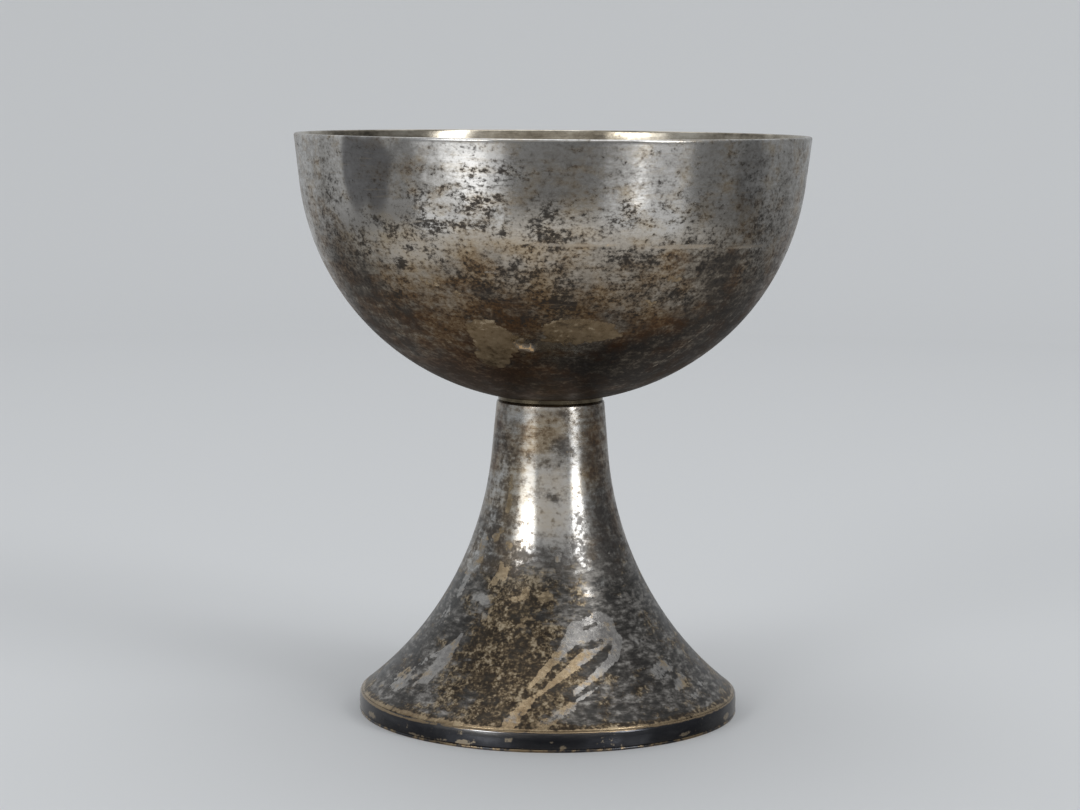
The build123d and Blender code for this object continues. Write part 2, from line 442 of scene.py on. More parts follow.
# Smooth film, darker or, with a negative amount, cleaner. Partly the tarnish's own layout and partly
# painted light: cleaner strips where the highlights fall, darker sides, and darker stripes and a
# darker middle where dark things are mirrored
BOWL_FILM_AND_PAINTED_LIGHT = [
    (-16, 121, 9, 7, -0.12), (-22, 125.5, 9, 3, -0.1), (-33, 106, 10, 6, -0.22),
    (23, 125.5, 9, 3, -0.1), (-78, 118, 14, 12, 0.16), (74, 116, 14, 16, 0.18),
    (76, 92, 14, 12, 0.14), (4, 83, 12, 3.4, -0.2), (2, 90, 11, 3.6, -0.1), (0, 73, 30, 3.6, 0.16),
    (66, 84, 14, 9, 0.26), (-72, 86, 12, 9, 0.14), (4, 121, 9, 8, 0.1), (21, 119, 9, 9, -0.1),
    (47, 117, 5, 10, 0.06), (62, 118, 5, 9, 0.02), (-60, 116, 3, 14, 0.1),
    (-51, 119, 2.5, 9, -0.06), (-28, 121, 6, 6, 0.1), (-38, 106, 7, 5, -0.06, 10),
    (-10, 107, 13, 4.5, -0.1), (-3, 102, 6, 4, -0.08), (22, 109, 8, 5, -0.14),
    (9, 103, 10, 3, -0.08), (-18, 97, 7, 5, 0.22), (-14, 93, 8, 3, 0.12), (-3, 94, 5, 6, 0.1),
    (-36, 100, 6, 3, 0.08), (-30, 97, 4, 3, -0.1), (-22, 94, 5, 2, -0.1), (10, 97, 10, 4, -0.1),
    (15, 103.4, 4, 1.5, 0.2), (27, 103, 6, 1.8, 0.2), (44, 102.4, 8, 2.2, 0.26),
    (38, 99, 12, 4, 0.16, -20), (52, 95, 12, 7, 0.2, -30), (-62, 100, 5, 10, 0.14),
    (-52, 96, 7, 5, 0.2, 30), (-43, 90, 9, 4, 0.14, 25), (16, 83, 16, 2.4, 0.14, 8),
    (-36, 84, 9, 3, -0.06, 15), (-40, 112, 8, 4, -0.1), (-28, 103, 7, 3, -0.1),
    (-47, 107, 8, 6, -0.1), (-38, 100, 8, 4, -0.08),
]
# Painted dark reflections: smooth grey patches with a fairly crisp edge, where the bowl mirrors dark
# things
BOWL_PAINTED_REFLECTIONS = [
    (-47.5, 120.4, 3.6, 9.4, 0.76), (-41.2, 119.8, 4.6, 9.2, 0.66), (-32, 122.6, 6.4, 5, 0.26),
    (3, 123, 9, 9, 0.1), (47, 119, 6, 10, 0.34),
]
# Corrosion speckle
BOWL_PITS = [
    (-17, 122, 5, 4, 0.34), (-15, 117, 5, 4, 0.38), (-17, 112, 5, 3, 0.34),
    (-29, 114, 3.4, 3, 0.46, -30), (-30, 110, 4, 1.6, 0.56), (-22, 109.6, 9, 1.8, 0.4),
    (-28, 106.6, 3, 1.6, 0.34), (-9.5, 121, 2.4, 2, 0.46), (-7, 119.4, 1.6, 1.2, 0.4),
    (-1, 113.5, 3, 3, 0.36, 30), (-3, 109.5, 3.4, 2.6, 0.58, 40), (1, 106.8, 4, 2.6, 0.5),
    (5, 110, 3, 3, 0.24), (-10.8, 108.3, 1.1, 1.1, 0.95), (14.8, 114.6, 1, 0.7, 0.8),
    (15.5, 112, 3, 2.2, 0.56), (11, 109, 4, 1.6, 0.34, 20), (14.4, 103.6, 3.2, 1.6, 0.64),
    (23, 102.8, 5, 2.2, 0.46), (31, 113, 6, 4, 0.3), (24, 118.6, 4, 1.2, 0.26),
    (48, 119, 3, 3, 0.34), (52, 110, 4, 5, 0.36), (33, 108, 5, 2, 0.24), (40, 101, 6, 4, 0.46, -20),
    (56, 101, 6, 5, 0.4, -20), (60, 112, 4, 5, 0.24), (-57, 114, 2.5, 9, 0.34, -12),
    (-62, 108, 2.5, 9, 0.34, -16), (-48, 106, 4, 5, 0.38, -25), (-57, 101, 4, 7, 0.4, -25),
    (-38, 108, 2.4, 2, 0.46, -20), (-41, 110, 1.6, 1.6, 0.4), (-34, 104.6, 1.6, 1.2, 0.6),
    (-37, 101.5, 1.6, 1.2, 0.9), (-28, 102.5, 3, 1.6, 0.44), (-22, 99.5, 4, 1.6, 0.4),
    (-16, 97.5, 5, 4, 0.46, 10), (-6, 98, 4, 4, 0.44), (-7, 102, 5, 1.6, 0.34), (2, 96, 3, 5, 0.56),
    (-4, 91, 4, 3, 0.36), (10, 94, 9, 2, 0.3), (-44, 95, 7, 4, 0.36, 25), (20, 97, 7, 3, 0.24),
    (22, 91, 6, 2, 0.3), (34, 95, 7, 3, 0.4, -15), (-19, 90, 5, 2.5, 0.3),
]
# Brown tint or, with a negative amount, a greyer one
BOWL_WARM = [
    (-10, 100, 14, 6, 0.3), (0, 93, 20, 6, 0.14), (-4, 95, 7, 5, 0.3), (40, 102, 13, 8, -0.34),
    (-28, 86, 10, 5, 0.5, 20), (-24, 77, 16, 4, 0.3), (-34, 79, 14, 5, 0.6, 20),
    (-22, 74, 14, 4, 0.3), (-30, 98, 8, 3, 0.2), (-12, 106, 10, 4, 0.14), (34, 91, 8, 3, 0.24, -20),
    (-30, 115, 3, 3, 0.2), (-41, 108, 4, 4, 0.3), (-9.5, 121, 3, 3, 0.3), (22, 81, 20, 6, -0.5),
    (60, 88, 12, 10, -0.3), (52, 96, 10, 6, -0.2), (34, 118, 10, 6, 0.14),
]
# Worn patches that show the paler metal, with ragged edges
BOWL_BARE = [
    (-19.5, 88, 3.8, 2.2, 1), (-15.5, 85.6, 5.8, 3, 1, -8), (-19.5, 82, 4, 3, 1, 10),
    (3, 88.2, 5, 2.2, 0.9, 6), (11, 88, 7, 2.4, 0.95, -4), (4, 85.9, 5.4, 1.6, 0.6),
    (24, 93.5, 3.2, 1.2, 0.45), (30, 98.5, 2.4, 1.2, 0.5), (-31, 98, 3.6, 1.4, 0.42),
    (-24, 95, 4, 1.2, 0.42),
]
# Scratches: angle and height of each end, half widths, amount
BOWL_SCRATCHES = [
    (12, 105.9, 36, 105.3, 0.22, 0.22, 0.75), (36, 105.3, 66, 104.5, 0.22, 0.18, 0.68),
    (-4, 106.1, 12, 105.9, 0.16, 0.2, 0.6), (-33, 113.4, -28, 111.4, 0.16, 0.16, 0.5),
    (-11, 85, -9.4, 83.9, 0.34, 0.44, 1.3), (-9.4, 83.9, -6, 83.6, 0.44, 0.34, 1.3),
    (-6.6, 84.8, -6, 83.6, 0.26, 0.34, 1.3), (-10.4, 85.7, -8.4, 85.9, 0.24, 0.2, 1.2),
    (-32, 110.2, -18, 109.8, 0.12, 0.12, 0.5), (-26, 107.6, -14, 107.3, 0.1, 0.1, 0.4),
    (51, 88, 41, 79, 0.22, 0.14, 0.6), (-15.5, 100.4, -12.5, 100.3, 0.14, 0.12, 0.35),
]


def inner_share(depth):
    """0 at a wall's outer face and 1 on its inner side, by depth from the outer face in mm."""
    return np.clip((depth - INNER_START) / INNER_FADE, 0, 1)


def bowl_layers(theta, r, z):
    """What the bowl's material reads at each vertex."""
    # Darker towards the bottom: partly tarnish and partly painted shade, standing in for the dark
    # table that the underside mirrors
    film = np.interp(
        z,
        (68.7, 78, 82, 86, 91, 97, 103, 109, 118, 127),
        (0.95, 0.86, 0.76, 0.66, 0.52, 0.42, 0.32, 0.24, 0.2, 0.17),
    )
    film += marks(theta, r, z, BOWL_FILM_AND_PAINTED_LIGHT)
    shade = marks(theta, r, z, BOWL_PAINTED_REFLECTIONS, 5)
    pits = np.interp(z, (70, 80, 88, 96, 106, 116, 127), (0.08, 0.11, 0.17, 0.2, 0.15, 0.07, 0.0))
    pits += marks(theta, r, z, BOWL_PITS)
    # Browner towards the bottom: partly tarnish and partly a painted reflection of a brown table
    warm = np.interp(z, (70, 80, 90, 100, 112, 127), (0.4, 0.5, 0.5, 0.36, 0.16, 0.06))
    warm += marks(theta, r, z, BOWL_WARM)
    centre_r, centre_z, size = bowl_arc(r)
    depth = np.where(
        z > band_foot_z,
        (RIM_RADIUS - (CHALICE_HEIGHT - z) * tan(radians(RIM_TAPER)) - r) * cos(radians(RIM_TAPER)),
        size - np.hypot(r - centre_r, z - centre_z),
    )
    return {
        "film": film,
        "shade": shade,
        "pits": pits,
        "warm": warm,
        "bare": marks(theta, r, z, BOWL_BARE, 4),
        "scratch": strokes(theta, r, z, BOWL_SCRATCHES),
        "inside": inner_share(depth),
    }


# -------------------- tarnish layout on the stem

# Film, speckle and brown tint, as on the bowl. The film is partly painted light: cleaner strips under
# the two highlights and between them, and darker sides
STEM_FILM_AND_PAINTED_LIGHT = [
    (-20, 62, 3, 6, 0.05), (-19, 45, 4.4, 8, -0.34), (23, 58, 2.4, 10, -0.22),
    (25, 46, 2.6, 8, -0.34), (26, 34, 4, 7, -0.22), (1, 48, 4.6, 9, -0.32), (60, 50, 7, 22, 0.3),
    (50, 36, 6, 9, 0.26), (-62, 62, 3.4, 7, 0.34), (-72, 52, 3, 14, 0.24), (-44, 40, 5, 5, 0.1),
    (-60, 48, 4, 7, -0.1), (-62, 26, 5, 9, -0.18),
]
STEM_PITS = [
    (-46, 59, 3, 3.4, 0.6), (-42, 52, 3, 6, 0.34), (12, 60.4, 2.2, 2, 0.6), (6, 60, 4, 2.4, 0.3),
    (3, 48.6, 1.6, 2.2, 0.5), (1, 44, 4, 4, -0.3), (0, 53, 4, 3, -0.24), (18, 66, 2, 2, 0.44),
    (-8, 51, 3, 3, 0.24), (-2, 56, 6, 1.4, 0.3), (50, 55, 4, 12, 0.46), (54, 40, 7, 12, 0.5),
    (-50, 43, 6, 6, 0.46), (-38, 35, 6, 5, 0.5), (0, 36, 8, 3, 0.44), (-14, 34, 8, 3, 0.4),
    (-16, 32, 12, 4.4, 0.36), (-2, 26, 7, 3, 0.3), (24, 44, 1.8, 3, 0.5), (24, 38, 2.6, 4, 0.44),
]
STEM_WARM = [
    (0, 64, 4, 2.4, 0.9), (-12, 61, 4, 3, 0.5), (-30, 57, 4, 6, 0.5), (-38, 47, 2.4, 7, 0.6),
    (-30, 36, 5, 5, 0.4), (4, 64, 3, 2, 0.5), (-3, 29, 4, 2.4, 0.6), (24.6, 29.2, 2, 1.4, 0.5),
    (50, 58, 4, 8, 0.34), (-14, 26, 12, 8, 0.5), (-20, 16, 16, 8, 0.6), (0, 12, 12, 6, 0.4),
    (-5, 7.5, 5, 2.6, 0.6),
]
# Patches worn back to bare metal
STEM_BARE = [
    (-1.6, 29, 1.8, 1, 1.1, 24), (-2.6, 28.2, 1.4, 0.6, 0.9), (-14, 29.4, 1, 1.2, 1.2),
    (-19.5, 28.2, 2.2, 0.45, 1.1, 8), (-10, 24.4, 2.6, 0.4, 0.8), (-14, 23, 1.6, 0.4, 0.7, 6),
    (-43, 27.6, 2.6, 0.8, 0.85, 10), (-38, 26.8, 1.6, 0.8, 0.8), (-37, 31, 1.4, 1.2, 0.7),
    (-35, 24, 1.2, 1.6, 0.6), (-63, 30, 1.8, 4, 0.66), (-57, 35, 1.8, 2.4, 0.6),
    (-66, 23, 1.8, 3, 0.55), (24.6, 29.2, 1.4, 0.9, 0.7), (-38, 51, 0.7, 3.6, 0.5),
    (-37.9, 47, 0.9, 1.8, 0.7), (-45, 40, 1, 1.1, 0.85), (-41, 41.6, 0.8, 0.8, 0.75),
    (-33.4, 34, 0.6, 1.6, 0.85, 14), (-35.6, 32.4, 0.6, 1.3, 0.75, -10), (-58, 38.5, 1.6, 1.7, 0.7),
    (-63, 10, 5, 2.6, 0.44), (51, 13.4, 4.4, 1.7, 0.8, 8), (56.5, 10.6, 4.8, 1.1, 0.7, 14),
    (58, 7.6, 4, 0.7, 0.55, 8), (44, 19, 3, 0.5, 0.45, 6), (66, 9, 3, 0.8, 0.5, 10),
    (-62, 8.6, 3.4, 1, 0.5, 10), (-30, 33, 1, 1.4, 0.6), (-32, 39, 1.2, 1.8, 0.55, 10),
    (6, 37, 1, 1.4, 0.5),
]
# Rubbed streaks, as a thumb leaves them
STEM_RUB = [
    (12.5, 22.6, 26.5, 24.2, 1.2, 1.3, 1), (26.5, 24.2, 31, 23.6, 1.3, 1.4, 1),
    (31, 23.6, 33.4, 19.8, 1.4, 1.2, 1), (33.4, 19.8, 29.6, 17.2, 1.2, 1, 1),
    (29.6, 17.2, 20.6, 14.4, 1, 0.7, 0.95), (20.6, 14.4, 9.4, 11, 0.7, 0.6, 0.85),
    (12, 20.4, 26, 21.7, 1, 1.3, 1), (12.5, 22.6, 8.6, 19.8, 1.2, 1.2, 1),
    (8.6, 19.8, -2.6, 14.4, 1.2, 0.8, 1), (-2.6, 14.4, -7, 11.8, 0.7, 0.4, 0.8),
    (28, 20.4, 14, 17, 0.9, 1.1, 1), (14, 17, 0.4, 12.2, 1.1, 0.6, 1),
    (0.4, 12.2, -4, 10.4, 0.5, 0.4, 0.8), (19, 11.9, 10, 9.6, 0.35, 0.35, 0.7),
    (8.4, 8.7, -2, 5.4, 0.8, 1.1, 0.75), (-6, 9.6, -12, 5.4, 1, 1.5, 0.85),
    (-45, 19.8, -48, 15.4, 0.6, 2, 0.9), (-48, 15.4, -50, 11.8, 2, 1.9, 1),
    (-50, 11.8, -54, 9.6, 1.2, 0.6, 0.6), (-47, 17.6, -56, 14.8, 1, 0.5, 0.55),
    (-58, 14, -64, 9, 0.8, 1.4, 0.5), (40, 18.6, 62, 19.2, 0.12, 0.12, 0.5),
    (38, 20.4, 66, 21.4, 0.1, 0.1, 0.4), (42, 23.4, 60, 23.8, 0.1, 0.1, 0.4),
    (-4, 22.6, 10, 22.6, 0.12, 0.12, 0.5),
]
# Tarnish left between the rubbed streaks
STEM_UNWORN = [
    (17.6, 22.6, 24.6, 23.2, 0.4, 0.4, 1), (18, 18.9, 25, 19.7, 0.5, 0.55, 1),
    (9.6, 17.9, 15, 18.4, 0.4, 0.3, 0.9), (1, 13.8, 7, 16.4, 0.25, 0.25, 0.6),
]
# Dark cool ground where the foot has not been handled
STEM_COOL = [
    (52, 20, 20, 14, 0.8), (24, 31, 9, 9, 0.5), (26, 21, 6, 4, 0.5), (-60, 16, 9, 14, 0.8),
    (30, 8, 20, 4, 0.4),
]


def stem_layers(theta, r, z):
    """What the stem's material reads at each vertex."""
    film = np.interp(
        z,
        (4, 8, 16, 26, 34, 42, 50, 60, 69),
        (0.56, 0.6, 0.58, 0.48, 0.38, 0.29, 0.24, 0.28, 0.31),
    )
    film += marks(theta, r, z, STEM_FILM_AND_PAINTED_LIGHT)
    pits = np.interp(z, (4, 20, 30, 38, 48, 60, 69), (0.0, 0.1, 0.34, 0.38, 0.24, 0.22, 0.26))
    pits += marks(theta, r, z, STEM_PITS)
    warm = np.interp(z, (4, 20, 32, 44, 69), (0.3, 0.28, 0.26, 0.3, 0.34))
    warm += marks(theta, r, z, STEM_WARM) - marks(theta, r, z, STEM_COOL)
    warm += 1.2 * np.clip((5.6 - z) / 0.8, 0, 1)
    bare = marks(theta, r, z, STEM_BARE, 4)
    edge_height = BAND_TOP_Z + 0.05 + 0.35 * np.exp(-(((theta + 45) / 24) ** 2))
    bare += 0.8 * np.exp(-(((z - edge_height) / 0.46) ** 4))
    rub = np.clip(strokes(theta, r, z, STEM_RUB), 0, 1) - strokes(theta, r, z, STEM_UNWORN)
    depth = np.where(
        z > straight_end[1],
        STEM_TOP_RADIUS + (STEM_TOP_Z - z) * tan(radians(STEM_TAPER)) - r,
        np.hypot(r - flare_centre[0], z - flare_centre[1]) - FLARE_RADIUS,
    )
    return {
        "film": film,
        "pits": pits,
        "warm": warm,
        "bare": np.maximum(bare, rub),
        "grime": np.interp(z, (4, 26, 34, 44), (1.0, 0.96, 0.42, 0.0)),
        "inside": inner_share(depth),
    }


# -------------------- wear on the foot's edge

# Chips of bare metal, most of them along the band's lower edge
BAND_CHIPS = [
    (-66, 1.7, 2.2, 0.8, 1), (-25, 1.1, 1.9, 0.8, 1), (-11.5, 2.5, 1.3, 0.7, 0.9, 10),
    (68, 1.8, 2, 0.8, 0.9), (-40, 1, 7, 0.3, 0.5), (4, 1.2, 1.2, 0.5, 0.6),
    (44, 1.4, 1.6, 0.5, 0.6), (110, 2, 2, 0.7, 0.8), (-150, 2.2, 2.4, 0.8, 0.9),
]
# Stretches of the band's top corner made brighter: partly rubbed wear and partly painted highlight,
# the front ones set where the highlights fall
BAND_RUBBED_AND_HIGHLIGHTS = [
    (-17, 3.7, 8, 0.8, 0.44), (-30, 3.7, 9, 0.7, 0.34), (18, 3.7, 9, 0.8, 0.3),
    (2, 3.7, 8, 0.7, 0.28), (120, 3.6, 10, 0.8, 0.6), (-140, 3.6, 10, 0.8, 0.6),
]


def band_layers(theta, r, z):
    """What the band's material reads at each vertex: chips, the corner's worn line, and its rubbed
    stretches and painted highlights.
    """
    shown = r > SHOWN_RADIUS
    corner_z = BAND_TOP_Z - 0.35 * np.exp(-(((theta + 48) / 20) ** 2))
    worn_line = np.exp(-(((z - corner_z) / 0.3) ** 4)) * (0.85 - 0.1 * np.sin(np.radians(theta)))
    return {
        "chips": marks(theta, r, z, BAND_CHIPS, 4),
        "lip": worn_line * shown,
        "clean": marks(theta, r, z, BAND_RUBBED_AND_HIGHLIGHTS) * shown,
    }


def ring_layers(theta, r, z):
    """The ring has the band's material, worn along its outer edge only."""
    none = np.zeros_like(z)
    return {"chips": none, "lip": np.where(r > SHOWN_RADIUS + 0.3, 0.55, 0.1), "clean": none}


# -------------------- node graphs

class Graph:
    """Builds the node tree of a material or world with short calls. Each call that makes a
    node gives its output socket."""

    def __init__(self, owner, place="Object"):
        owner.use_nodes = True
        self.owner = owner
        self.tree = owner.node_tree
        self.place = self.add("ShaderNodeTexCoord", {})[place]

    def add(self, kind, inputs, **settings):
        """The outputs of a new node, whose inputs are fed."""
        node = self.tree.nodes.new(kind)
        for key, value in settings.items():
            setattr(node, key, value)
        self.feed(node, inputs)
        return node.outputs

    def feed(self, node, inputs):
        """Feeds a node's inputs, by name or place, with output sockets, colours or numbers."""
        for key, value in inputs.items():
            socket = node.inputs[key]
            if isinstance(value, bpy.types.NodeSocket):
                self.tree.links.new(value, socket)
            elif socket.type == "RGBA":
                socket.default_value = (*value, 1)
            else:
                socket.default_value = value

    def math(self, operation, a, b, clamp=False):
        return self.add("ShaderNodeMath", {0: a, 1: b}, operation=operation, use_clamp=clamp)[0]

    def plus(self, *terms):
        total = terms[0]
        for term in terms[1:]:
            total = self.math("ADD", total, term)
        return total

    def times(self, a, b):
        return self.math("MULTIPLY", a, b)

    def swing(self, base, *pairs):
        """base plus noises that swing about zero. A pair has a noise output and its gain."""
        for noise, gain in pairs:
            base = self.plus(base, self.times(self.math("SUBTRACT", noise, 0.5), gain))
        return base

    def layers(self, *names):
        """The painted layers of these names."""
        return [self.add("ShaderNodeAttribute", {}, attribute_name=n)["Fac"] for n in names]

    def stretch(self, x, y, z, shift=0.0):
        scaled = {0: self.place, 1: (x, y, z), 2: (shift, shift, shift)}
        return self.add("ShaderNodeVectorMath", scaled, operation="MULTIPLY_ADD")[0]

    def noise(self, size_mm, detail, roughness, vector=None, distortion=0.0):
        return self.add("ShaderNodeTexNoise", {
            "Vector": self.place if vector is None else vector, "Scale": 1 / (size_mm * MM),
            "Detail": detail, "Roughness": roughness, "Distortion": distortion,
        })[0]

    def step(self, value, low, high):
        """0 up to low and 1 from high, with a smooth rise between them."""
        rise = {"Value": value, "From Min": low, "From Max": high}
        return self.add("ShaderNodeMapRange", rise, interpolation_type="SMOOTHSTEP")[0]

    def spread(self, value, low, high):
        """A value from -1 to 1 moved to the range from low to high."""
        span = {"Value": value, "From Min": -1, "To Min": low, "To Max": high}
        return self.add("ShaderNodeMapRange", span)[0]

    def ramp(self, value, stops):
        colour = self.add("ShaderNodeValToRGB", {0: value})[0]
        elements = colour.node.color_ramp.elements
        while len(elements) < len(stops):
            elements.new(0.5)
        for element, (at, stop_colour) in zip(elements, stops):
            element.position = at
            element.color = (*stop_colour, 1)
        return colour

    def mix(self, share, a, b):
        """From colour a to colour b."""
        return self.add("ShaderNodeMix", {0: share, 6: a, 7: b}, data_type="RGBA")[2]

    def blend(self, share, a, b):
        """From number a to number b."""
        return self.add("ShaderNodeMix", {0: share, 2: a, 3: b}, data_type="FLOAT")[0]

    def bump(self, height, depth_mm):
        relief = {"Strength": 1, "Distance": depth_mm * MM, "Height": height}
        return self.add("ShaderNodeBump", relief)[0]

    def finish(self, colour, roughness, metallic, normal):
        """Feeds the material's shader, and gives the material."""
        self.feed(self.tree.nodes["Principled BSDF"], {
            "Base Color": colour, "Roughness": roughness, "Metallic": metallic, "Normal": normal,
        })
        return self.owner


# Colours of the silver's tarnish from clean to black, in linear RGB
COOL_FILM = [
    (0, (0.66, 0.655, 0.64)), (0.22, (0.48, 0.47, 0.45)), (0.42, (0.31, 0.295, 0.27)),
    (0.6, (0.17, 0.155, 0.14)), (0.8, (0.072, 0.066, 0.062)), (1, (0.031, 0.03, 0.034)),
]
WARM_FILM = [
    (0, (0.66, 0.61, 0.52)), (0.22, (0.49, 0.42, 0.32)), (0.42, (0.33, 0.25, 0.165)),
    (0.6, (0.2, 0.128, 0.076)), (0.8, (0.104, 0.056, 0.031)), (1, (0.056, 0.029, 0.016)),
]
PIT_COLOUR = (0.036, 0.032, 0.029)


def bowl_silver():
    """Worn plate under uneven tarnish and painted light, with gilding inside."""
    g = Graph(bpy.data.materials.new("tarnished_silver_bowl"))
    film, shade, pits, warm, bare, scratch, inside = g.layers(
        "film", "shade", "pits", "warm", "bare", "scratch", "inside"
    )
    cloud = g.noise(13, 6, 0.62)
    drift = g.noise(7, 4, 0.6, g.stretch(1, 1, 1.3, 0.3))
    rows = g.noise(4.0, 6, 0.68, g.stretch(0.34, 0.34, 1.6))
    crumb = g.noise(2.6, 6, 0.68, g.stretch(0.9, 0.9, 1.2))
    speck = g.noise(1.15, 4, 0.64, g.stretch(0.9, 0.9, 1.15, 0.2))
    grain = g.noise(0.6, 3, 0.62, g.stretch(0.85, 0.85, 1.15, 0.4))
    fine_rows = g.noise(0.9, 3, 0.6, g.stretch(0.05, 0.05, 1))
    hairs = g.noise(0.45, 2, 0.5, g.stretch(0.05, 0.05, 1, 0.6))

    # Film and painted light: how dark it is and how brown, both uneven at every size
    swing = g.swing(
        0, (cloud, 1.1), (rows, 1.1), (crumb, 1.2), (speck, 1.3), (grain, 0.8), (hairs, 0.3)
    )
    level = g.plus(film, g.times(swing, g.plus(g.times(film, 0.65), 0.34)))
    warmth = g.math("ADD", warm, g.swing(0, (drift, 3.8), (rows, 1.8), (speck, 1.0)), clamp=True)
    colour = g.mix(warmth, g.ramp(level, COOL_FILM), g.ramp(level, WARM_FILM))
    # Painted dark reflections: in these patches the colour is pulled towards a flat grey
    painted_reflection_mask = g.step(g.swing(shade, (cloud, 0.3), (crumb, 0.3)), 0, 0.66)
    colour = g.mix(g.times(painted_reflection_mask, 0.76), colour, (0.13, 0.13, 0.137))

    # Speckle: dark spots in clusters, with softer stains round them
    crust = g.swing(g.times(pits, 0.52), (speck, 1.3), (crumb, 0.8), (rows, 0.6), (grain, 0.8))
    stained = g.step(crust, 0.11, 0.37)
    pitted = g.step(crust, 0.27, 0.46)
    pepper = g.step(g.swing(g.times(pits, 0.34), (grain, 1.6), (rows, 0.6)), 0.2, 0.4)
    stain_tone = g.mix(warmth, (0.13, 0.124, 0.118), (0.14, 0.098, 0.062))
    colour = g.mix(g.times(stained, 0.62), colour, stain_tone)
    colour = g.mix(g.times(pepper, 0.45), colour, (0.075, 0.066, 0.058))
    colour = g.mix(g.times(pitted, 0.8), colour, PIT_COLOUR)
    brushed = g.step(g.swing(g.plus(hairs, g.times(film, -0.1)), (cloud, 0.3)), 0.58, 0.72)
    colour = g.mix(g.times(brushed, 0.2), colour, (0.5, 0.43, 0.33))

    edge = g.swing(bare, (crumb, 1.6), (rows, 0.8), (speck, 0.7))
    worn = g.step(edge, 0.42, 0.56)
    worn_tone = g.ramp(g.swing(cloud, (crumb, 1.0), (speck, 1.0), (rows, 0.8)), [
        (0.28, (0.22, 0.168, 0.106)), (0.46, (0.44, 0.355, 0.238)), (0.74, (0.56, 0.465, 0.33)),
    ])
    colour = g.mix(g.times(worn, 0.86), colour, worn_tone)
    scraped = g.times(
        g.step(scratch, 0.02, 0.2),
        g.step(g.swing(scratch, (rows, 1.5), (speck, 1.0)), 0.15, 0.5),
    )
    colour = g.mix(g.times(scraped, 0.7), colour, (0.62, 0.57, 0.5))
    fresh = g.step(scratch, 0.8, 0.98)
    colour = g.mix(fresh, colour, (0.95, 0.72, 0.45))

    # The worn gilding inside
    gilt = g.ramp(g.swing(0.42, (cloud, 1.6), (rows, 1.6), (speck, 0.5)), [
        (0, (0.66, 0.62, 0.53)), (0.35, (0.44, 0.4, 0.33)), (0.62, (0.26, 0.23, 0.18)),
        (0.85, (0.11, 0.097, 0.078)),
    ])
    colour = g.mix(inside, colour, gilt)

    rough = g.swing(g.plus(g.times(level, 0.26), 0.16, g.times(pitted, 0.14)), (rows, 0.2))
    rough = g.blend(inside, rough, 0.17)
    rough = g.blend(fresh, rough, 0.55)
    metal = g.plus(1.0, g.times(pitted, -0.25))
    height = g.plus(g.times(pitted, -0.4), g.times(fine_rows, 0.2), g.times(crumb, 0.5))
    return g.finish(colour, rough, metal, g.bump(height, 0.03))


